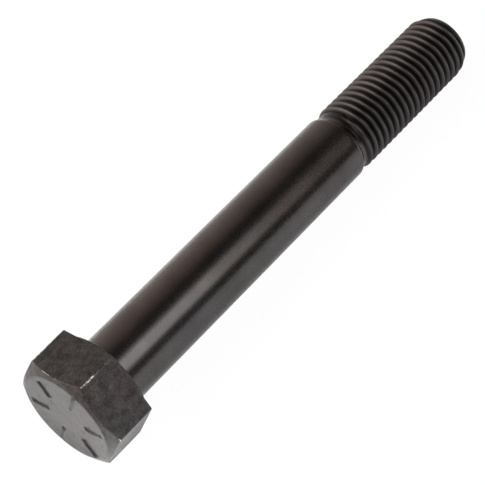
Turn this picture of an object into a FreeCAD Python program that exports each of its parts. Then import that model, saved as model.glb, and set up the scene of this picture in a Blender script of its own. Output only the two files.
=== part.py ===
"""Hex bolt, 1 inch - 8 UNC x 7 1/2 inch, partly threaded, in millimetres.

Frame: the origin is the centre of the bearing face under the head, +X runs along the
shank to the thread point, and +Z is the normal of the upper wrench flat, with the bolt
lying on its side. A real bolt is one forging, so its nodes are the three regions that
its making gives it: the headed part, the plain shank and the rolled thread. They meet
face to face and never move against each other.
"""
import FreeCAD, Part
import os
import re

import Sketcher

Vector = FreeCAD.Vector
doc = FreeCAD.newDocument("hex_bolt")

# ---------------------------------------------------------------- driving dimensions

DIMENSIONS = [
    ("across_flats", 38.1, "width of the hexagon, flat to flat"),
    ("head_height", 18.5, "bearing face to crown"),
    ("washer_face_height", 0.9, "how far the bearing face stands out of the hexagon"),
    ("washer_face_inset", 0.45, "how far the round bearing face stops inside the flats"),
    ("crown_inset", 1.35, "how far the flat crown circle stops inside the flats"),
    ("crown_chamfer_angle", 30, "slope of the corner chamfer, degrees"),
    ("stub_length", 2, "start of the shank, made with the head"),
    ("fillet_radius", 1.6, "fillet between the bearing face and the shank"),
    ("mark_count", 6, "radial strength-grade marks on the crown"),
    ("mark_margin", 1.7, "outer end of a mark to the edge of the crown circle"),
    ("mark_length", 7.1, "length of a mark"),
    ("mark_width", 1.1, "width of a mark"),
    ("mark_depth", 0.4, "how deep a mark is struck"),
    ("bolt_length", 190.5, "bearing face to thread point"),
    ("shank_diameter", 25.4, "plain shank"),
    ("shoulder_length", 1.9, "taper from the plain shank down to the neck"),
    ("neck_length", 0.8, "neck left plain between the taper and the thread"),
    ("neck_depth", 1.0, "neck to thread crest, radially"),
    ("thread_length", 63.5, "start of the thread to the thread point"),
    ("thread_diameter", 25.4, "major diameter of the thread"),
    ("thread_depth", 1.85, "crest to root, radially"),
    ("thread_pitch", 3.175, "eight threads per inch"),
    ("thread_angle", 60, "angle between the flanks, degrees"),
    ("thread_crest", 0.4, "width of the crest"),
    ("thread_phase", 1, "axial shift of the helix, which turns the thread about its axis"),
    ("runout_length", 3.2, "over which the first crest rises from the neck"),
    ("point_length", 4.8, "taper at the thread point"),
    ("point_depth", 2.1, "thread crest to the flat end of the point, radially"),
    ("trim_margin", 3, "how far a trimming cut reaches outside what it trims"),
]

sheet = doc.addObject("Spreadsheet::Sheet", "Dimensions")
sheet.Label = "driving dimensions"
sheet.set("A1", "name")
sheet.set("B1", "value")
sheet.set("C1", "meaning")
for row, (alias, value, meaning) in enumerate(DIMENSIONS, start=2):
    sheet.set(f"A{row}", alias)
    sheet.set(f"B{row}", str(value))
    sheet.setAlias(f"B{row}", alias)
    sheet.set(f"C{row}", meaning)
doc.recompute()


def from_sheet(formula):
    """Turns a formula in aliases, such as 'head_height / 2', into an expression."""
    return re.sub(r"\b[a-z]+(_[a-z]+)+\b", r"Dimensions.\g<0>", formula)


# ------------------------------------------------------------------ sketch and feature helpers

def new_body(name, turned):
    """A body whose own +Z is the bolt's axis, placed in the bolt's frame."""
    body = doc.addObject("PartDesign::Body", name)
    body.Label = name
    body.Placement = FreeCAD.Placement(Vector(0, 0, 0), turned)
    return body


def origin_feature(body, role):
    for feature in body.Origin.OriginFeatures:
        if feature.Role == role:
            return feature
    raise ValueError(f"{body.Label} has no {role}")


def new_sketch(body, name, role, height=None):
    """A sketch on one of the body's origin planes, raised along its normal by height."""
    sketch = body.newObject("Sketcher::SketchObject", name)
    sketch.AttachmentSupport = [(origin_feature(body, role), "")]
    sketch.MapMode = "FlatFace"
    if height:
        sketch.setExpression("AttachmentOffset.Base.z", from_sheet(height))
    return sketch


def drive(sketch, kind, *where, formula):
    """Adds a dimension to the sketch and binds it to the sheet."""
    index = sketch.addConstraint(Sketcher.Constraint(kind, *where, 1.0))
    sketch.renameConstraint(index, f"size_{index}")
    sketch.setExpression(f"Constraints.size_{index}", from_sheet(formula))


def draw_outline(sketch, corners):
    """A closed outline of straight lines. Each corner is (x formula, y formula)."""
    count = len(corners)
    turn = FreeCAD.Rotation(Vector(0, 0, 1), 360 / count)
    start = Vector(10, 0, 0)
    for index in range(count):
        end = turn.multVec(start)
        sketch.addGeometry(Part.LineSegment(start, end), False)
        start = end
    for index, (across, along) in enumerate(corners):
        sketch.addConstraint(Sketcher.Constraint("Coincident", index, 2, (index + 1) % count, 1))
        for kind, formula in (("DistanceX", across), ("DistanceY", along)):
            if formula == "0":
                axis = -2 if kind == "DistanceX" else -1
                sketch.addConstraint(Sketcher.Constraint("PointOnObject", index, 1, axis))
            else:
                drive(sketch, kind, -1, 1, index, 1, formula=formula)


def draw_circle(sketch, diameter):
    circle = sketch.addGeometry(Part.Circle(Vector(0, 0, 0), Vector(0, 0, 1), 10), False)
    sketch.addConstraint(Sketcher.Constraint("Coincident", circle, 3, -1, 1))
    drive(sketch, "Diameter", circle, formula=diameter)


def add_pad(body, name, sketch, length, backwards=False):
    pad = body.newObject("PartDesign::Pad", name)
    pad.Profile = sketch
    pad.Reversed = backwards
    pad.setExpression("Length", from_sheet(length))
    doc.recompute()
    return pad


def add_turned(body, kind, name, sketch):
    """A Revolution or Groove of the sketch once round the body's own Z axis."""
    feature = body.newObject(f"PartDesign::{kind}", name)
    feature.Profile = sketch
    feature.ReferenceAxis = (origin_feature(body, "Z_Axis"), [""])
    feature.Angle = 360
    doc.recompute()
    return feature


# ------------------------------------------------------------------------------- head
# A hexagon with a washer face below, corners chamfered to a flat round crown, six
# radial marks in the crown, and a stub of the shank that carries the under-head fillet.

head = new_body("head", FreeCAD.Rotation(Vector(0, 1, 0), Vector(0, 0, -1), Vector(-1, 0, 0)))

HEX_CORNERS = [
    ("across_flats / sqrt(3)", "0"),
    ("across_flats / sqrt(3) / 2", "across_flats / 2"),
    ("-1 * across_flats / sqrt(3) / 2", "across_flats / 2"),
    ("-1 * across_flats / sqrt(3)", "0"),
    ("-1 * across_flats / sqrt(3) / 2", "-1 * across_flats / 2"),
    ("across_flats / sqrt(3) / 2", "-1 * across_flats / 2"),
]
hexagon = new_sketch(head, "hexagon", "XY_Plane", "washer_face_height")
draw_outline(hexagon, HEX_CORNERS)
add_pad(head, "hexagon_pad", hexagon, "head_height - washer_face_height")

washer_face = new_sketch(head, "washer_face", "XY_Plane")
draw_circle(washer_face, "across_flats - 2 * washer_face_inset")
add_pad(head, "washer_face_pad", washer_face, "washer_face_height")

stub = new_sketch(head, "shank_stub", "XY_Plane")
draw_circle(stub, "shank_diameter")
add_pad(head, "shank_stub_pad", stub, "stub_length", backwards=True)

chamfer = new_sketch(head, "corner_chamfer", "XZ_Plane")
CROWN_RADIUS = "( across_flats / 2 - crown_inset )"
CUT_WIDTH = "( across_flats / sqrt(3) + trim_margin - across_flats / 2 + crown_inset )"
draw_outline(chamfer, [
    (CROWN_RADIUS, "head_height"),
    (f"{CROWN_RADIUS} + {CUT_WIDTH}", "head_height"),
    (f"{CROWN_RADIUS} + {CUT_WIDTH}", f"head_height - {CUT_WIDTH} * tan(crown_chamfer_angle)"),
])
add_turned(head, "Groove", "corner_chamfer_cut", chamfer)

mark = new_sketch(head, "grade_mark", "XY_Plane", "head_height")
MARK_OUTER = f"( {CROWN_RADIUS} - mark_margin )"
draw_outline(mark, [
    (f"{MARK_OUTER} - mark_length", "-1 * mark_width / 2"),
    (MARK_OUTER, "-1 * mark_width / 2"),
    (MARK_OUTER, "mark_width / 2"),
    (f"{MARK_OUTER} - mark_length", "mark_width / 2"),
])
mark_pocket = head.newObject("PartDesign::Pocket", "grade_mark_pocket")
mark_pocket.Profile = mark
mark_pocket.setExpression("Length", from_sheet("mark_depth"))
doc.recompute()

marks = head.newObject("PartDesign::PolarPattern", "grade_marks")
marks.Originals = [mark_pocket]
marks.Axis = (origin_feature(head, "Z_Axis"), [""])
marks.Angle = 360
marks.setExpression("Occurrences", from_sheet("mark_count"))
head.Tip = marks
doc.recompute()


def edge_names(shape, wanted):
    return [f"Edge{index}" for index, edge in enumerate(shape.Edges, start=1) if wanted(edge)]


stub_radius = sheet.shank_diameter / 2
fillet = head.newObject("PartDesign::Fillet", "under_head_fillet")
fillet.Base = (marks, edge_names(marks.Shape, lambda edge: (
    isinstance(edge.Curve, Part.Circle)
    and abs(edge.Curve.Radius - stub_radius) < 1e-6
    and abs(edge.Curve.Center.z) < 1e-6)))
fillet.setExpression("Radius", from_sheet("fillet_radius"))
head.Tip = fillet
doc.recompute()


# ------------------------------------------------------------------------------ shank
# The plain part, from the stub below the head to the neck that the thread
# starts from, with the taper that the rolling dies leave between the two.

along_bolt = FreeCAD.Rotation(Vector(0, 1, 0), Vector(0, 0, 1), Vector(1, 0, 0))
shank = new_body("shank", along_bolt)

THREAD_START = "( bolt_length - thread_length )"
NECK_START = f"( {THREAD_START} - neck_length )"
PLAIN_END = f"( {NECK_START} - shoulder_length )"
NECK_RADIUS = "( thread_diameter / 2 - neck_depth )"
shank_profile = new_sketch(shank, "shank_profile", "XZ_Plane")
draw_outline(shank_profile, [
    ("0", "stub_length"),
    ("shank_diameter / 2", "stub_length"),
    ("shank_diameter / 2", PLAIN_END),
    (NECK_RADIUS, NECK_START),
    (NECK_RADIUS, THREAD_START),
    ("0", THREAD_START),
])
add_turned(shank, "Revolution", "shank_turned", shank_profile)

# ----------------------------------------------------------------------------- thread
# A core at the root diameter and one right-hand ridge round it, both trimmed to the
# tapered point and to the cone over which the first crest rises from the neck.

thread = new_body("thread", along_bolt)

ROOT_RADIUS = "( thread_diameter / 2 - thread_depth )"
core_profile = new_sketch(thread, "core_profile", "XZ_Plane")
draw_outline(core_profile, [
    ("0", THREAD_START),
    (ROOT_RADIUS, THREAD_START),
    (ROOT_RADIUS, "bolt_length"),
    ("0", "bolt_length"),
])
add_turned(thread, "Revolution", "core_turned", core_profile)

# The ridge starts inside the core, so that the two always join.
SUNK = "0.05"
RIDGE_MIDDLE = f"( {THREAD_START} - 2 * thread_pitch + thread_phase )"
RIDGE_BASE = f"( thread_crest + 2 * ( thread_depth + {SUNK} ) * tan(thread_angle / 2) )"
ridge_profile = new_sketch(thread, "ridge_profile", "XZ_Plane")
draw_outline(ridge_profile, [
    (f"{ROOT_RADIUS} - {SUNK}", f"{RIDGE_MIDDLE} - {RIDGE_BASE} / 2"),
    ("thread_diameter / 2", f"{RIDGE_MIDDLE} - thread_crest / 2"),
    ("thread_diameter / 2", f"{RIDGE_MIDDLE} + thread_crest / 2"),
    (f"{ROOT_RADIUS} - {SUNK}", f"{RIDGE_MIDDLE} + {RIDGE_BASE} / 2"),
])
ridge = thread.newObject("PartDesign::AdditiveHelix", "ridge")
ridge.Profile = ridge_profile
ridge.ReferenceAxis = (origin_feature(thread, "Z_Axis"), [""])
ridge.Mode = "pitch-height-angle"
ridge.setExpression("Pitch", from_sheet("thread_pitch"))
ridge.setExpression("Height", from_sheet("thread_length + 4 * thread_pitch"))
doc.recompute()

OUTSIDE = "( thread_diameter / 2 + trim_margin )"
BEYOND = "( bolt_length + 4 * thread_pitch )"
point_trim = new_sketch(thread, "point_trim", "XZ_Plane")
draw_outline(point_trim, [
    ("0", "bolt_length"),
    ("thread_diameter / 2 - point_depth", "bolt_length"),
    ("thread_diameter / 2", "bolt_length - point_length"),
    (OUTSIDE, "bolt_length - point_length"),
    (OUTSIDE, BEYOND),
    ("0", BEYOND),
])
add_turned(thread, "Groove", "point_cut", point_trim)

BEFORE = f"( {THREAD_START} - 4 * thread_pitch )"
runout_trim = new_sketch(thread, "runout_trim", "XZ_Plane")
draw_outline(runout_trim, [
    ("0", BEFORE),
    (OUTSIDE, BEFORE),
    (OUTSIDE, f"{THREAD_START} + runout_length"),
    ("thread_diameter / 2", f"{THREAD_START} + runout_length"),
    (NECK_RADIUS, THREAD_START),
    ("0", THREAD_START),
])
add_turned(thread, "Groove", "runout_cut", runout_trim)

# --------------------------------------------------------------------- check and write

doc.recompute()
for item in doc.Objects:
    if "Invalid" in item.State or "Error" in item.State:
        raise RuntimeError(f"{item.Label} did not build: {item.State}")

os.makedirs("parts", exist_ok=True)
for body in (head, shank, thread):
    if body.Shape.isNull() or not body.Shape.isValid() or len(body.Shape.Solids) != 1:
        raise RuntimeError(f"{body.Label} is not one valid solid")
for body in (head, shank, thread):
    body.Shape.exportStep(f"parts/{body.Label}.step")
    print(f"{body.Label}: {body.Shape.Volume:.1f} mm3")
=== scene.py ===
import math

import bmesh
import bpy
import numpy as np
from mathutils import Matrix, Vector, noise


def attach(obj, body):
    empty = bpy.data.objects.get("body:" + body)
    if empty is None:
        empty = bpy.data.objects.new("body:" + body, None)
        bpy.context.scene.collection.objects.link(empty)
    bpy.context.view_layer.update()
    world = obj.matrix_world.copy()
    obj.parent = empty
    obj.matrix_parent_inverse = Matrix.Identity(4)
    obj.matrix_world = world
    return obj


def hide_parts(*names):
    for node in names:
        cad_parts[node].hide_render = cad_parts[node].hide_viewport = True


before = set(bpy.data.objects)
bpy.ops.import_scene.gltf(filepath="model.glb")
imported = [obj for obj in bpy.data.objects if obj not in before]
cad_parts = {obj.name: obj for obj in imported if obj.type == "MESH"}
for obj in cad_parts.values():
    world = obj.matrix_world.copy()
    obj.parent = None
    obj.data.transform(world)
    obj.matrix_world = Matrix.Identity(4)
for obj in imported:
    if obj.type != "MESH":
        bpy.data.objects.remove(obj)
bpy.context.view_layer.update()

# ------------------------------------------------------------------------------ head
# The hexagon head: headed from the bar, with flats pressed by the die, corners
# turned off to a round crown, a washer face below, and six radial marks struck in the
# crown. The heat-treated steel keeps a thin dark skin, paler on the struck crown.

MM = 0.001

ACROSS_FLATS = 38.1
HEAD_HEIGHT = 18.5
CROWN_RADIUS = 17.7
CROWN_SLOPE = math.radians(30)
WASHER_FACE_HEIGHT = 0.9
WASHER_FACE_RADIUS = 18.6
FILLET_RADIUS = 1.6
SHANK_RADIUS = 12.7
CORNER_ROUNDING = 0.7
FLAT_HALF = ACROSS_FLATS / 2


def column_angles():
    """Angles about the bolt's axis, close together at the hexagon's six corners."""
    near = np.radians(np.linspace(-4.5, 4.5, 46))
    wide = np.radians(np.linspace(4.5, 55.5, 56)[1:-1])
    sector = np.concatenate([near, wide])
    return np.concatenate([sector + corner * math.pi / 3 for corner in range(6)])


def hexagon_radius(angles):
    """Distance from the axis to the hexagon's side, with its corners rounded."""
    off_corner = (angles + math.pi / 6) % (math.pi / 3) - math.pi / 6
    on_flat = FLAT_HALF / np.cos(math.pi / 6 - np.abs(off_corner))
    middle = (FLAT_HALF - CORNER_ROUNDING) / math.cos(math.pi / 6)
    touch = math.atan2(CORNER_ROUNDING / 2, middle + CORNER_ROUNDING * math.cos(math.pi / 6))
    inside = np.maximum(CORNER_ROUNDING**2 - (middle * np.sin(off_corner))**2, 0)
    on_corner = middle * np.cos(off_corner) + np.sqrt(inside)
    return np.where(np.abs(off_corner) < touch, on_corner, on_flat)


def rounded_corner(before, corner, after, radius, count):
    """Points of an arc of that radius in the corner. Each point is (radius, place along)."""
    into = corner - before
    into = into / np.linalg.norm(into, axis=-1, keepdims=True)
    out = after - corner
    out = out / np.linalg.norm(out, axis=-1, keepdims=True)
    half_turn = np.arccos(np.clip((into * out).sum(-1, keepdims=True), -1, 1)) / 2
    reach = radius * np.tan(half_turn)
    start, end, weight = corner - into * reach, corner + out * reach, np.cos(half_turn)
    points = []
    for share in np.linspace(0, 1, count):
        a, b, c = (1 - share)**2, 2 * share * (1 - share) * weight, share**2
        points.append((a * start + b * corner + c * end) / (a + b + c))
    return points


def straight(start, end, count):
    """Points strictly between start and end."""
    return [start + (end - start) * share for share in np.linspace(0, 1, count + 2)[1:-1]]


def rings_to_mesh(name, rings, angles, turn_shift=0):
    """A closed skin over rings of points. rings holds (radius, place along) per column, in
    millimetres. turn_shift joins the last column to the first that many rings further on."""
    radius, along = rings[..., 0], rings[..., 1]
    points = np.stack([along, radius * np.cos(angles), radius * np.sin(angles)], -1)
    count, columns = points.shape[:2]
    numbers = np.arange(count * columns).reshape(count, columns)
    here = numbers[:-1]
    there = numbers[1:]
    faces = np.stack([here[:, :-1], here[:, 1:], there[:, 1:], there[:, :-1]], -1).reshape(-1, 4)
    last = count - 1 - turn_shift
    seam = np.stack([
        numbers[:last, -1], numbers[turn_shift:turn_shift + last, 0],
        numbers[turn_shift + 1:turn_shift + 1 + last, 0], numbers[1:last + 1, -1]], -1)
    faces = np.concatenate([faces, seam])
    mesh = bpy.data.meshes.new(name)
    caps = []
    if not turn_shift:
        caps = [tuple(reversed(numbers[0])), tuple(numbers[-1])]
    mesh.from_pydata((points.reshape(-1, 3) * MM).tolist(), [], faces.tolist() + caps)
    mesh.update()
    return mesh


def show(mesh, material, node):
    """Links the mesh as a piece on the bolt's one body, in place of its CAD node."""
    mesh.materials.append(material)
    piece = bpy.data.objects.new(mesh.name, mesh)
    bpy.context.scene.collection.objects.link(piece)
    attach(piece, "root")
    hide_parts(node)


def paint(mesh, name, values):
    """Stores one number per point for the material to read."""
    layer = mesh.attributes.new(name, "FLOAT", "POINT")
    layer.data.foreach_set("value", np.asarray(values, np.float32).ravel())


def waviness(points, size, seed):
    """Smooth irregularity between about -1 and 1, with lumps of that size in millimetres."""
    return np.array([noise.noise(Vector(p / size) + Vector((seed, 0, 0))) for p in points])


def push_along_normals(mesh, heights):
    """Moves each point along its normal by its height in millimetres."""
    count = len(mesh.vertices)
    points, normals = np.empty(count * 3), np.empty(count * 3)
    mesh.vertices.foreach_get("co", points)
    mesh.vertices.foreach_get("normal", normals)
    points += normals * np.repeat(heights * MM, 3)
    mesh.vertices.foreach_set("co", points)
    mesh.update()


angles = column_angles()
hexagon = hexagon_radius(angles)
ones = np.ones_like(angles)


def ring(radius, along):
    return np.stack([radius * ones, along * ones], -1)


centre = ring(0.02, -HEAD_HEIGHT)
crown_edge = ring(CROWN_RADIUS, -HEAD_HEIGHT)
shoulder = ring(hexagon, -HEAD_HEIGHT + (hexagon - CROWN_RADIUS) * math.tan(CROWN_SLOPE))
hexagon_foot = ring(hexagon, -WASHER_FACE_HEIGHT)
washer_root = ring(WASHER_FACE_RADIUS, -WASHER_FACE_HEIGHT)
washer_edge = ring(WASHER_FACE_RADIUS, 0)
fillet_start = ring(SHANK_RADIUS + FILLET_RADIUS, 0)

crown_arc = rounded_corner(centre, crown_edge, shoulder, 1.0, 6)
shoulder_arc = rounded_corner(crown_edge, shoulder, hexagon_foot, 0.45, 7)
foot_arc = rounded_corner(shoulder, hexagon_foot, washer_root, 0.35, 7)
root_arc = rounded_corner(hexagon_foot, washer_root, washer_edge, 0.15, 4)
washer_arc = rounded_corner(washer_root, washer_edge, fillet_start, 0.3, 6)
mark_zone = [ring(r, -HEAD_HEIGHT) for r in np.arange(7.4, 17.05, 0.2)]
bands = {
    "centre": [centre],
    "inner_crown": straight(centre, mark_zone[0], 8),
    "mark_zone": mark_zone,
    "crown_arc": crown_arc,
    "chamfer": straight(crown_arc[-1], shoulder_arc[0], 8),
    "shoulder_arc": shoulder_arc,
    "side": straight(shoulder_arc[-1], foot_arc[0], 30),
    "foot_arc": foot_arc,
    "root_arc": root_arc,
    "washer_side": straight(root_arc[-1], washer_arc[0], 1),
    "washer_arc": washer_arc,
    "bearing_face": straight(washer_arc[-1], fillet_start, 4),
    "fillet_start": [fillet_start],
}
rings = np.array([row for band in bands.values() for row in band])
rows_of = {}
first = 0
for band_name, band in bands.items():
    rows_of[band_name] = np.arange(first, first + len(band))
    first += len(band)
head_mesh = rings_to_mesh("bolt_head", rings, angles)

points = np.array([v.co / MM for v in head_mesh.vertices])
flat_angle = np.tile(angles, len(rings))
out = rings[..., 0].ravel()

# Each mark was struck on its own. Per mark: where it starts and ends, how far along it
# changes, and then its sideways drift, half width, depth and darkening (dirt with painted shade) at
# both ends.
STRUCK_MARKS = (
    (8.0, 15.6, 0.3, (-0.10, -0.42), (1.05, 1.05), (0.42, 0.40), (0.98, 0.95)),
    (8.6, 15.3, 0.4, (-0.55, -0.15), (1.15, 1.20), (0.44, 0.44), (1.05, 1.05)),
    (7.9, 17.5, 0.74, (0.20, -0.25), (0.60, 0.65), (0.16, 0.38), (0.48, 1.10)),
    (8.3, 15.9, 0.6, (0.05, -0.30), (1.10, 0.68), (0.38, 0.24), (0.88, 0.72)),
    (9.3, 16.9, 0.2, (-0.55, -0.15), (1.20, 1.20), (0.42, 0.44), (1.00, 1.08)),
    (7.6, 16.2, 0.3, (-0.65, -0.90), (0.64, 0.46), (0.38, 0.13), (1.20, 0.46)),
)
MARK_ROUNDING = 0.35
on_crown = (points[:, 0] < -HEAD_HEIGHT + 0.01) & (out > 1)
groove = np.zeros(len(points))
dirt_and_shade = np.zeros(len(points))
lip = np.zeros(len(points))
for corner, (start, end, change, *values) in enumerate(STRUCK_MARKS):
    off = flat_angle - corner * math.pi / 3
    lengthwise = out * np.cos(off)
    share = np.clip((lengthwise - start) / (end - start), 0, 1)
    share = np.clip((share - change) / 0.35 + 0.5, 0, 1)
    drift, half_width, depth, stain_and_shade = [a + (b - a) * share for a, b in values]
    across = out * np.sin(off) - drift
    beyond = np.abs(lengthwise - (start + end) / 2) - (end - start) / 2
    beside = np.abs(across) - half_width + 0.07 * np.sin(lengthwise * 2.1 + corner)
    gap = np.hypot(np.maximum(beside + MARK_ROUNDING, 0), np.maximum(beyond + MARK_ROUNDING, 0))
    gap = gap + np.minimum(np.maximum(beside, beyond) + MARK_ROUNDING, 0) - MARK_ROUNDING
    inside = np.clip(0.5 - gap / (0.2 + 0.7 * half_width), 0, 1)
    inside = inside * inside * (3 - 2 * inside) * on_crown
    groove = np.maximum(groove, depth * inside)
    dirt_and_shade = np.maximum(dirt_and_shade, stain_and_shade * np.clip(1.25 * inside, 0, 1))
    lip = np.maximum(lip, depth * np.exp(-((gap - 0.5) / 0.2)**2) * on_crown)

# Small dents and pits in the crown, with a few more near its edge.
PIT_COUNT = 46
picker = np.random.default_rng(11)
pits = np.zeros(len(points))
for _ in range(PIT_COUNT):
    reach = CROWN_RADIUS * (0.25 + 0.7 * picker.random()**0.55)
    turn, size = picker.random() * 2 * math.pi, picker.uniform(0.16, 0.42)
    y, z = reach * math.cos(turn), reach * math.sin(turn)
    distance = np.hypot(points[:, 1] - y, points[:, 2] - z)
    pits = np.maximum(pits, 1.3 * size * np.exp(-(distance / size)**2) * on_crown)

lumps = 0.05 * waviness(points, 9, 3.1) + 0.02 * waviness(points, 2.6, 8.4)
lumps = lumps * (points[:, 0] < -WASHER_FACE_HEIGHT + 0.2)
push_along_normals(head_mesh, lumps - groove + 0.12 * lip - 0.25 * pits)

# Wear by wrenches, hands and other bolts, with painted glints. The crown's edge, the foot
# and the washer face are worn a little all round. The edge between chamfer and flats is worn,
# with painted glints, where the table of sides says: (middle, reach, strength), in degrees about
# the axis. So are the hexagon's corners, along their whole length, and those past 2.5 radians less so.
SHOULDER_WEAR_AND_GLINT = 0.85
WORN_AND_GLINTING_SIDES = ((60, 4, 0.8), (86, 17, 1.1), (180, 4, 1.0), (290, 40, 0.7))
CORNER_LINE = math.radians(1.1)

edge_rows = np.zeros(len(rings))
for band_name, strength in (
        ("crown_arc", 0.30), ("shoulder_arc", SHOULDER_WEAR_AND_GLINT), ("foot_arc", 0.75), ("washer_arc", 0.5)):
    row = rows_of[band_name]
    middle = (row[0] + row[-1]) / 2
    edge_rows[row] = strength * (1 - np.abs(row - middle) / (len(row) / 2 + 0.5))
up_the_side = np.zeros(len(rings))
up_the_side[rows_of["shoulder_arc"][3]:rows_of["foot_arc"][-1] + 1] = 1
off_corner = (angles + math.pi / 6) % (math.pi / 3) - math.pi / 6
corner_line = np.clip(1.3 - np.abs(off_corner) / CORNER_LINE, 0, 1)
shoulder_rows = np.zeros(len(rings))
shoulder_rows[rows_of["shoulder_arc"]] = edge_rows[rows_of["shoulder_arc"]] / SHOULDER_WEAR_AND_GLINT
edge_rows = edge_rows - SHOULDER_WEAR_AND_GLINT * shoulder_rows
round_edge = 0.12 * ones
for middle, reach, strength in WORN_AND_GLINTING_SIDES:
    off = np.abs((np.degrees(angles) - middle + 180) % 360 - 180)
    round_edge = np.maximum(round_edge, strength * np.clip(1.6 - 1.6 * off / reach, 0, 1))
rubbed_and_glint = edge_rows[:, None] * ones + shoulder_rows[:, None] * round_edge
less_wear_and_glint = 1 - 0.6 * (angles > 2.5)
rubbed_and_glint = np.maximum(rubbed_and_glint, up_the_side[:, None] * corner_line * less_wear_and_glint).ravel()
patchy = 0.75 + 0.9 * waviness(points, 4.5, 2.6) + 0.5 * waviness(points, 1.1, 7.7)
near_crown = np.clip(2.2 - (points[:, 0] + HEAD_HEIGHT) / 9, 0.5, 1.4)
# Wear with painted glints: the bright colour goes where this is high.
paint(head_mesh, "wear_and_glint", np.clip(rubbed_and_glint * patchy * near_crown, 0, 1))
# Dirt with painted shade darkens the struck marks and the pits.
paint(head_mesh, "soot_and_shade", np.clip(dirt_and_shade + 1.4 * pits, 0, 1))

# The crown is paler than the flats. It is painted darker again in a narrow rim on its upper
# side, and darkens toward the lower side with painted shade, and the flats that lie uppermost are a
# little browner.
RIM_SIDE = math.radians(110)
RIM_RADIUS = 17.0
SHADED_SIDE = math.radians(285)
BROWN_SIDE = math.radians(80)

crown_rows = np.zeros(len(rings))
crown_rows[:rows_of["crown_arc"][0]] = 1
crown_rows[rows_of["crown_arc"]] = np.linspace(1, 0, len(crown_arc))
rim_width = 0.35 + 0.5 * np.clip(np.cos(flat_angle - RIM_SIDE), 0, 1)
rim = np.clip((RIM_RADIUS - out) / rim_width + 0.6, 0, 1)
rim = 1 - (1 - rim) * np.clip(0.5 + 2 * np.cos(flat_angle - RIM_SIDE), 0, 1)
struck = np.repeat(crown_rows, len(angles)) * (0.25 + 0.75 * rim)
# Painted shade: the crown darkens toward its lower side.
crown_shade = np.clip(np.cos(flat_angle - SHADED_SIDE), 0, 1)**2 * np.clip((out - 6) / 8, 0, 1)
paint(head_mesh, "struck_face_and_shade", struck * (1 - 0.75 * crown_shade))
faces_up = np.clip(0.5 + 3 * np.cos(flat_angle - BROWN_SIDE), 0, 1)
brown = 0.45 * faces_up * (1 - np.repeat(crown_rows, len(angles))) + 0.05
brown = brown + 0.25 * waviness(points, 12, 4.4)
paint(head_mesh, "brown", np.clip(brown, 0, 1))


def new_group(name, inputs, outputs):
    """A shader node group with these sockets, and its input and output nodes."""
    group = bpy.data.node_groups.new(name, "ShaderNodeTree")
    for label, kind, value in inputs:
        socket = group.interface.new_socket(label, in_out="INPUT", socket_type=kind)
        socket.default_value = value
    for label, kind in outputs:
        group.interface.new_socket(label, in_out="OUTPUT", socket_type=kind)
    return group, group.nodes.new("NodeGroupInput"), group.nodes.new("NodeGroupOutput")


def add(tree, kind, links=(), **settings):
    """A node with settings, and with sockets set to values or linked to other sockets."""
    node = tree.nodes.new(kind)
    for key, value in settings.items():
        setattr(node, key, value)
    for socket, source in dict(links).items():
        if isinstance(source, bpy.types.NodeSocket):
            tree.links.new(source, node.inputs[socket])
        else:
            node.inputs[socket].default_value = source
    return node


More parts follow.
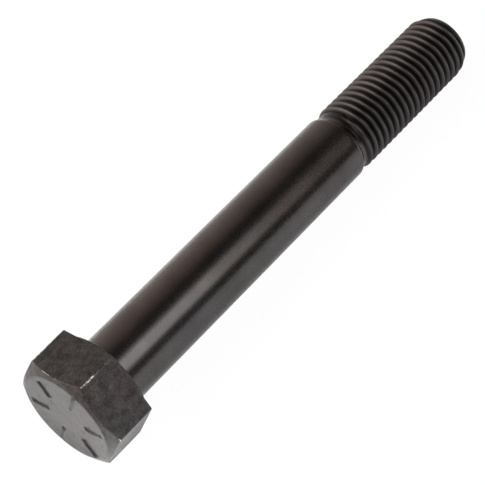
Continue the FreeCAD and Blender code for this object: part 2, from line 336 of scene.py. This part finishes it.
def build_steel_skin():
    """Colour, roughness and height of a dark heat-treated skin: cloudy patches, fine grain,
    polished wear with painted glints on the edges, and soot with painted shade in what is struck and
    in hollows."""
    group, given, result = new_group("steel_skin", [
        ("Dark", "NodeSocketColor", (0.05, 0.05, 0.05, 1)),
        ("Pale", "NodeSocketColor", (0.09, 0.09, 0.09, 1)),
        ("Worn And Glint", "NodeSocketColor", (0.5, 0.5, 0.5, 1)),
        ("Cloud Scale", "NodeSocketFloat", 120.0),
        ("Grain Scale", "NodeSocketFloat", 900.0),
        ("Grain Amount", "NodeSocketFloat", 0.5),
        ("Rough Low", "NodeSocketFloat", 0.3),
        ("Rough High", "NodeSocketFloat", 0.5),
        ("Wear And Glint", "NodeSocketFloat", 0.0),
        ("Soot And Shade", "NodeSocketFloat", 0.0),
        ("Brown", "NodeSocketFloat", 0.0),
    ], [("Colour", "NodeSocketColor"), ("Roughness", "NodeSocketFloat"),
        ("Height", "NodeSocketFloat")])
    place = add(group, "ShaderNodeTexCoord")
    sheet = given.outputs
    cloud = add(group, "ShaderNodeTexNoise", {
        "Vector": place.outputs["Object"], "Scale": sheet["Cloud Scale"],
        "Detail": 4.0, "Roughness": 0.6})
    grain = add(group, "ShaderNodeTexNoise", {
        "Vector": place.outputs["Object"], "Scale": sheet["Grain Scale"],
        "Detail": 3.0, "Roughness": 0.65})
    grain_part = add(group, "ShaderNodeMath", {
        0: grain.outputs["Fac"], 1: sheet["Grain Amount"]}, operation="MULTIPLY")
    both = add(group, "ShaderNodeMath", {
        0: cloud.outputs["Fac"], 1: grain_part.outputs[0]}, operation="ADD")
    whole = add(group, "ShaderNodeMath", {0: sheet["Grain Amount"], 1: 1.0}, operation="ADD")
    mixed = add(group, "ShaderNodeMath", {
        0: both.outputs[0], 1: whole.outputs[0]}, operation="DIVIDE")
    patch = add(group, "ShaderNodeMapRange", {
        "Value": mixed.outputs[0], "From Min": 0.36, "From Max": 0.64})
    skin = add(group, "ShaderNodeMix", {
        "Factor": patch.outputs[0], 6: sheet["Dark"], 7: sheet["Pale"]}, data_type="RGBA")
    tinted = add(group, "ShaderNodeMix", {
        "Factor": sheet["Brown"], 6: skin.outputs[2], 7: (1.20, 0.975, 0.90, 1)},
        data_type="RGBA", blend_type="MULTIPLY")
    # The bright colour goes on worn edges and on painted glints.
    rub_and_glint = add(group, "ShaderNodeMath", {
        0: sheet["Wear And Glint"], 1: grain.outputs["Fac"]}, operation="MULTIPLY")
    rubbed_and_glint = add(group, "ShaderNodeMapRange", {
        "Value": rub_and_glint.outputs[0], "From Min": 0.3, "From Max": 0.6})
    worn_and_glint = add(group, "ShaderNodeMix", {
        "Factor": rubbed_and_glint.outputs[0], 6: tinted.outputs[2], 7: sheet["Worn And Glint"]}, data_type="RGBA")
    # The near-black colour is dirt with painted shade in hollows.
    sooty_and_shaded = add(group, "ShaderNodeMix", {
        "Factor": sheet["Soot And Shade"], 6: worn_and_glint.outputs[2], 7: (0.016, 0.0142, 0.0142, 1)},
        data_type="RGBA")
    rough = add(group, "ShaderNodeMapRange", {
        "Value": grain.outputs["Fac"], "From Min": 0.3, "From Max": 0.7,
        "To Min": sheet["Rough Low"], "To Max": sheet["Rough High"]})
    group.links.new(sooty_and_shaded.outputs[2], result.inputs["Colour"])
    group.links.new(rough.outputs[0], result.inputs["Roughness"])
    group.links.new(mixed.outputs[0], result.inputs["Height"])
    return group


steel_skin = build_steel_skin()


def steel_material(name, skin_values, bump_strength, bump_depth):
    """A metal whose colour, roughness and bump come from the steel skin."""
    material = bpy.data.materials.new(name)
    material.use_nodes = True
    tree = material.node_tree
    shader = tree.nodes["Principled BSDF"]
    shader.inputs["Metallic"].default_value = 1.0
    # The first layer holds worn edges with painted glints, the second dirt with painted shade.
    wear_and_glint_layer = add(tree, "ShaderNodeAttribute", attribute_name="wear_and_glint")
    soot_and_shade_layer = add(tree, "ShaderNodeAttribute", attribute_name="soot_and_shade")
    brown_layer = add(tree, "ShaderNodeAttribute", attribute_name="brown")
    skin = add(tree, "ShaderNodeGroup", node_tree=steel_skin)
    for label, value in skin_values.items():
        skin.inputs[label].default_value = value
    tree.links.new(wear_and_glint_layer.outputs["Fac"], skin.inputs["Wear And Glint"])
    tree.links.new(soot_and_shade_layer.outputs["Fac"], skin.inputs["Soot And Shade"])
    tree.links.new(brown_layer.outputs["Fac"], skin.inputs["Brown"])
    bump = add(tree, "ShaderNodeBump", {
        "Strength": bump_strength, "Distance": bump_depth * MM, "Height": skin.outputs["Height"]})
    tree.links.new(skin.outputs["Colour"], shader.inputs["Base Color"])
    tree.links.new(skin.outputs["Roughness"], shader.inputs["Roughness"])
    tree.links.new(bump.outputs["Normal"], shader.inputs["Normal"])
    return material, skin


head_steel, head_skin = steel_material("head_steel", {
    "Dark": (0.0330, 0.0323, 0.0324, 1), "Pale": (0.0900, 0.0880, 0.0884, 1),
    "Worn And Glint": (0.75, 0.73, 0.70, 1), "Cloud Scale": 330, "Grain Scale": 1500,
    "Grain Amount": 0.9, "Rough Low": 0.30, "Rough High": 0.42}, 1.0, 0.45)
# The struck crown is mixed in by its own layer, with a paler pair of the skin's colours.
tree = head_steel.node_tree
face_layer = add(tree, "ShaderNodeAttribute", attribute_name="struck_face_and_shade")
for label, colour in (("Dark", (0.112, 0.1060, 0.1050, 1)), ("Pale", (0.144, 0.1365, 0.1355, 1))):
    choice = add(tree, "ShaderNodeMix", {
        "Factor": face_layer.outputs["Fac"], 6: head_skin.inputs[label].default_value[:],
        7: colour}, data_type="RGBA")
    tree.links.new(choice.outputs[2], head_skin.inputs[label])
head_mesh.shade_smooth()
show(head_mesh, head_steel, "head")

# ------------------------------------------------------------------------------ shank
# The plain shank: drawn bar with its under-head fillet, left smooth and oily dark, and
# rounded down to the neck that the thread was rolled on.

PLAIN_END = 123.6
NECK_START = 126.2
THREAD_START = 127.0
NECK_RADIUS = 11.7
SHOULDER_HIGHLIGHT_PLACE = 125.0
NECK_SHADE_PLACE = 125.8

shank_angles = np.radians(np.arange(0, 360, 2))
profile = [(SHANK_RADIUS + FILLET_RADIUS, 0.0)]
for turn in np.radians(np.linspace(0, 90, 12))[1:]:
    profile.append((SHANK_RADIUS + FILLET_RADIUS * (1 - math.sin(turn)),
                    FILLET_RADIUS * (1 - math.cos(turn))))
for along in np.linspace(FILLET_RADIUS, PLAIN_END, 81)[1:]:
    profile.append((SHANK_RADIUS, along))
for share in np.linspace(0, 1, 25)[1:]:
    drop = (SHANK_RADIUS - NECK_RADIUS) * (1 - math.cos(math.pi * share)) / 2
    profile.append((SHANK_RADIUS - drop, PLAIN_END + (NECK_START - PLAIN_END) * share))
profile.append((NECK_RADIUS, THREAD_START))
shank_rings = np.array([[point] * len(shank_angles) for point in profile])
shank_mesh = rings_to_mesh("bolt_shank", shank_rings, shank_angles)
points = np.array([v.co / MM for v in shank_mesh.vertices])
drawn = points * (0.12, 1, 1)
heights = 0.012 * waviness(drawn, 3.5, 5.2) + 0.015 * waviness(points, 14, 1.7)
heights[:len(shank_angles)] = 0
heights[-len(shank_angles):] = 0
push_along_normals(shank_mesh, heights)
turned = np.arctan2(points[:, 2], points[:, 1])


def degrees_from(turned, middle):
    """How far each angle about the axis lies from the middle one, in degrees."""
    return np.abs((np.degrees(turned) - middle + 180) % 360 - 180)


# The oil's brown lies along one side and spreads toward the thread. The neck at the front is
# darkened with painted shade, and the shoulder before it carries a painted highlight on one side.
off_side = degrees_from(turned, 40)
off_top = degrees_from(turned, 60)
on_side = np.clip((86 - off_side) / 18, 0, 1)
far_along = np.clip((points[:, 0] - 15) / 90, 0, 1) * np.clip((108 - off_top) / 25, 0, 1)
brown = np.maximum(0.9 * on_side, 0.7 * far_along) + 0.1 + 0.25 * waviness(points, 16, 9.3)
paint(shank_mesh, "brown", np.clip(brown, 0, 1.2))
off_front = degrees_from(turned, 130)
# Painted shade in the neck.
in_neck = np.clip(1.6 - np.abs(points[:, 0] - NECK_SHADE_PLACE) / 0.8, 0, 1)
in_neck = in_neck * np.clip(1.6 - off_front / 11, 0, 1)
paint(shank_mesh, "soot_and_shade", 0.85 * in_neck)
# Painted highlight on the shoulder.
off_right = degrees_from(turned, 172)
rubbed_and_glint = np.exp(-((points[:, 0] - SHOULDER_HIGHLIGHT_PLACE) / 1.1)**2) * np.clip(1.5 - off_right / 28, 0, 1)
paint(shank_mesh, "wear_and_glint", 0.75 * rubbed_and_glint)
shank_steel, _ = steel_material("shank_steel", {
    "Dark": (0.057, 0.0545, 0.0545, 1), "Pale": (0.079, 0.076, 0.0757, 1),
    "Worn And Glint": (0.4, 0.39, 0.37, 1), "Cloud Scale": 70, "Grain Scale": 1300,
    "Grain Amount": 0.3, "Rough Low": 0.23, "Rough High": 0.29}, 0.2, 0.02)
shank_mesh.shade_smooth()
shank_mesh.set_sharp_from_angle(angle=math.radians(40))
show(shank_mesh, shank_steel, "shank")

# ----------------------------------------------------------------------------- thread
# The rolled thread: one right-hand ridge that rises from the neck, rounded at crest and
# root by the dies, and runs out over the tapered point.

PITCH = 3.175
CREST_RADIUS = 12.7
THREAD_DEPTH = 1.85
CREST_HALF = 0.2
CREST_PLACE = 0.88
FIRST_CREST = 128.72
FIRST_TURN_GLINT = 128.4
FLANK_ANGLE = math.radians(30)
POINT_LENGTH = 4.8
POINT_DROP = 2.1
BOLT_LENGTH = 190.5
RUNOUT = 3.2
END_ROUNDING = 0.7
ROWS_PER_TURN = 22
THREAD_COLUMNS = 150

thread_angles = np.linspace(0, 2 * math.pi, THREAD_COLUMNS + 1)[:-1]
START = THREAD_START - 0.4
first_row = -2 * ROWS_PER_TURN
last_row = int((BOLT_LENGTH - START) / PITCH * ROWS_PER_TURN) + 2 * ROWS_PER_TURN
rows = np.arange(first_row, last_row)[:, None]
along = START + PITCH * (rows / ROWS_PER_TURN + thread_angles / (2 * math.pi))
from_crest = along - (THREAD_START + CREST_PLACE) - PITCH * thread_angles / (2 * math.pi)
from_crest = np.abs((from_crest / PITCH + 0.5) % 1 - 0.5) * PITCH


def soft_floor(a, b, width):
    """The greater of a and b, with the corner between them rounded over width."""
    blend = np.clip(0.5 + 0.5 * (a - b) / width, 0, 1)
    return b + (a - b) * blend + width * blend * (1 - blend)


flank = CREST_RADIUS - (from_crest - CREST_HALF) / math.tan(FLANK_ANGLE)
ridge = -soft_floor(-flank, -CREST_RADIUS * np.ones_like(flank), 0.35)
ridge = soft_floor(ridge, (CREST_RADIUS - THREAD_DEPTH) * np.ones_like(flank), 0.55)

# The ridge rises out of the neck over RUNOUT, and its first crest starts at FIRST_CREST.
rise = np.clip((along - THREAD_START) / RUNOUT, 0, 1)
rise = rise * rise * (3 - 2 * rise)
crest_place = THREAD_START + CREST_PLACE + PITCH * thread_angles / (2 * math.pi)
crest_place = crest_place + np.round((along - crest_place) / PITCH) * PITCH
rise = rise * np.clip((crest_place - FIRST_CREST) / 0.16, 0, 1)
radius = (NECK_RADIUS - 0.02) + (ridge - NECK_RADIUS + 0.02) * rise
taper = CREST_RADIUS - (along - (BOLT_LENGTH - POINT_LENGTH)) * POINT_DROP / POINT_LENGTH
radius = -soft_floor(-radius, -taper, 0.3)

# The end face: the rows past it turn over a small rounding and shrink onto the axis. The
# rows before START shrink onto the axis too.
past = np.maximum(along - (BOLT_LENGTH - END_ROUNDING), 0)
turn = np.minimum(past / END_ROUNDING, math.pi / 2)
end_radius = CREST_RADIUS - POINT_DROP
beyond = np.maximum(past - END_ROUNDING * math.pi / 2, 0)
rim = end_radius - END_ROUNDING * (1 - np.cos(turn)) - beyond * 3.5
place = np.where(past > 0, BOLT_LENGTH - END_ROUNDING + END_ROUNDING * np.sin(turn), along)
radius = np.where(past > 0, np.minimum(radius, rim + 0.3 * (1 - turn / (math.pi / 2))), radius)
before = np.maximum(START - along, 0)
place = np.where(before > 0, START, place)
radius = np.where(before > 0, radius - before * 4, radius)
radius = np.maximum(radius, 0.0)
thread_rings = np.stack([radius, place], -1)
thread_mesh = rings_to_mesh("bolt_thread", thread_rings, thread_angles, ROWS_PER_TURN)

points = np.array([v.co / MM for v in thread_mesh.vertices])
height_in_thread = np.clip((radius - (CREST_RADIUS - THREAD_DEPTH)) / THREAD_DEPTH, 0, 1)
height_in_thread = np.where(past > 0, 0.8, height_in_thread).ravel()
# Painted shade with dirt darkens the roots and flanks, most deeply low in the grooves.
paint(thread_mesh, "soot_and_shade", np.clip(1.9 - 2.4 * height_in_thread, 0, 0.93))
turned = np.arctan2(points[:, 2], points[:, 1])
# Crests toward the upper side are worn and painted brighter as highlights, and a painted glint crosses
# the first turn.
off_top = degrees_from(turned, 105)
crest_wear_and_highlight = 0.1 + 0.68 * np.clip(1.3 - off_top / 32, 0, 1)
first_turn = np.exp(-((points[:, 0] - FIRST_TURN_GLINT) / 0.5)**2)
first_turn = first_turn * np.clip(1.4 - np.abs(off_top - 24) / 12, 0, 1)
paint(thread_mesh, "wear_and_glint", np.clip(height_in_thread * 5 - 4, 0, 1) * crest_wear_and_highlight + first_turn)
brown = 0.3 + 0.35 * np.cos(turned - math.radians(75)) + 0.2 * waviness(points, 9, 6.1)
paint(thread_mesh, "brown", np.clip(brown, 0, 1.2))
# Beyond both ends the rows shrink onto the axis, and their points are joined there.
edit = bmesh.new()
edit.from_mesh(thread_mesh)
bmesh.ops.remove_doubles(edit, verts=edit.verts, dist=1e-7)
bmesh.ops.dissolve_degenerate(edit, edges=edit.edges, dist=1e-8)
edit.to_mesh(thread_mesh)
edit.free()
thread_steel, _ = steel_material("thread_steel", {
    "Dark": (0.065, 0.0622, 0.0627, 1), "Pale": (0.091, 0.0870, 0.0877, 1),
    "Worn And Glint": (0.20, 0.196, 0.197, 1), "Cloud Scale": 160, "Grain Scale": 1300,
    "Grain Amount": 0.5, "Rough Low": 0.32, "Rough High": 0.44}, 0.5, 0.04)
thread_mesh.shade_smooth()
show(thread_mesh, thread_steel, "thread")

# ----------------------------------------------------------------------------- studio
# A pale table, tilted so that the lying bolt rests on it: the head's lower flat touches
# at its edge near the shank, and the thread touches at the point.

rest_near = Vector((-WASHER_FACE_HEIGHT * MM, 0, -FLAT_HALF * MM))
rest_far = Vector(((BOLT_LENGTH - POINT_LENGTH) * MM, 0, -CREST_RADIUS * MM))
slope = math.atan2(rest_far.z - rest_near.z, rest_far.x - rest_near.x)
table_mesh = bpy.data.meshes.new("table")
NEAR_X, NEAR_Y, FAR = -0.25, -0.22, 3
table_mesh.from_pydata(
    [(NEAR_X, NEAR_Y, 0), (FAR, NEAR_Y, 0), (FAR, FAR, 0), (NEAR_X, FAR, 0)], [], [(0, 1, 2, 3)])
table = bpy.data.objects.new("table", table_mesh)
bpy.context.scene.collection.objects.link(table)
table.matrix_world = Matrix.Translation(rest_near) @ Matrix.Rotation(-slope, 4, "Y")
table_paint = bpy.data.materials.new("table_paint")
table_paint.use_nodes = True
tree = table_paint.node_tree
tree.nodes.clear()
lit = add(tree, "ShaderNodeBsdfDiffuse", {"Color": (0.8, 0.8, 0.8, 1)})
glowing = add(tree, "ShaderNodeEmission", {"Color": (1, 1, 1, 1), "Strength": 1.0})
faint = add(tree, "ShaderNodeMixShader", {0: 0.04, 1: glowing.outputs[0], 2: lit.outputs[0]})
path = add(tree, "ShaderNodeLightPath")
mixed = add(tree, "ShaderNodeMixShader", {
    0: path.outputs["Is Camera Ray"], 1: lit.outputs[0], 2: faint.outputs[0]})
tree.links.new(mixed.outputs[0], add(tree, "ShaderNodeOutputMaterial").inputs["Surface"])
table_mesh.materials.append(table_paint)

# The room: a pale sweep on the +Y side, brighter toward the head's end, and dark behind
# the camera. What lights the table is even, so that the bolt's own shadow is soft.
world = bpy.data.worlds.new("studio")
bpy.context.scene.world = world
world.use_nodes = True
tree = world.node_tree
tree.nodes.clear()
direction = add(tree, "ShaderNodeTexCoord")
axes = add(tree, "ShaderNodeSeparateXYZ", {"Vector": direction.outputs["Generated"]})
toward_head = add(tree, "ShaderNodeMapRange", {
    "Value": axes.outputs["X"], "From Min": 0.458, "From Max": -0.95})
behind = add(tree, "ShaderNodeMapRange", {
    "Value": axes.outputs["Y"], "From Min": -0.35, "From Max": 0.05, "To Max": 0.35})
least = add(tree, "ShaderNodeMath", {
    0: toward_head.outputs[0], 1: behind.outputs[0], 2: 0.10}, operation="MULTIPLY_ADD")
steep = add(tree, "ShaderNodeMath", {
    0: toward_head.outputs[0], 1: 1.2, 2: 1.0}, operation="MULTIPLY_ADD")
sideways = add(tree, "ShaderNodeMath", {0: axes.outputs["Y"], 1: 0.0}, operation="MAXIMUM")
room = add(tree, "ShaderNodeMath", {
    0: sideways.outputs[0], 1: steep.outputs[0], 2: least.outputs[0]}, operation="MULTIPLY_ADD")
studio = add(tree, "ShaderNodeBackground", {
    "Color": (1.0, 0.968, 0.93, 1), "Strength": room.outputs[0]})
even = add(tree, "ShaderNodeBackground", {"Color": (1, 1, 1, 1), "Strength": 0.45})
white = add(tree, "ShaderNodeBackground", {"Color": (1, 1, 1, 1), "Strength": 1.0})
path = add(tree, "ShaderNodeLightPath")
for_table = add(tree, "ShaderNodeMixShader", {
    0: path.outputs["Is Diffuse Ray"], 1: studio.outputs[0], 2: even.outputs[0]})
mixed = add(tree, "ShaderNodeMixShader", {
    0: path.outputs["Is Camera Ray"], 1: for_table.outputs[0], 2: white.outputs[0]})
tree.links.new(mixed.outputs[0], add(tree, "ShaderNodeOutputWorld").inputs["Surface"])


def soft_panel(name, place, aim, width, tall, power, colour):
    """A soft studio panel at place, facing aim. It isn't seen by the camera."""
    light = bpy.data.lights.new(name, "AREA")
    light.shape = "RECTANGLE"
    light.size, light.size_y = width, tall
    light.energy, light.color = power, colour
    panel = bpy.data.objects.new(name, light)
    bpy.context.scene.collection.objects.link(panel)
    panel.location = place
    panel.rotation_euler = (Vector(aim) - Vector(place)).to_track_quat("-Z", "Y").to_euler()
    panel.visible_camera = False
    return panel


soft_panel("side_panel", (0.11, -0.72, 0.56), (0.02, 0, 0), 0.8, 0.50, 3.9, (1, 0.99, 0.98))
soft_panel("side_panel_top", (0.11, -0.60, 0.82), (0.02, 0, 0), 0.8, 0.26, 1.0, (1, 0.99, 0.98))
soft_panel("head_panel", (-0.72, 0.28, 0.56), (0, 0, 0), 0.75, 0.46, 2.9, (1, 0.98, 0.97))
for name, place, aim, width, tall, power in (
        ("table_panel", (-0.30, 0.30, 0.42), (-0.05, 0.05, 0), 0.4, 0.4, 3.0),
        ("table_fill", (0.05, -0.50, 0.40), (0.05, 0, 0), 0.4, 0.4, 0.9),
        ("head_fill", (-0.03, -0.045, 0.002), (-0.012, -0.02, -0.019), 0.03, 0.02, 0.024),
        ("shank_fill", (0.13, -0.045, 0.0), (0.13, -0.02, -0.018), 0.12, 0.02, 0.004)):
    table_light = soft_panel(name, place, aim, width, tall, power, (1, 1, 1))
    table_light.visible_glossy = False

bpy.context.scene.view_settings.view_transform = "Standard"

# ----------------------------------------------------------------------------- camera
# A long lens above the head's crown side, looking along the bolt and down on it, and
# turned a little about its own line of sight.

camera_data = bpy.data.cameras.new("camera")
camera_data.sensor_width = 36.0
camera_data.lens = 132.19
camera_data.clip_start = 0.01
camera = bpy.data.objects.new("camera", camera_data)
bpy.context.scene.collection.objects.link(camera)
forward = Vector((0.46564, 0.55040, -0.69300)).normalized()
up = Vector((0.62646, 0.34810, 0.69741))
right = forward.cross(up).normalized()
up = right.cross(forward)
eye = Vector((-0.21255, -0.33545, 0.42183))
camera.matrix_world = Matrix((
    (right.x, up.x, -forward.x, eye.x), (right.y, up.y, -forward.y, eye.y),
    (right.z, up.z, -forward.z, eye.z), (0, 0, 0, 1)))
bpy.context.scene.camera = camera
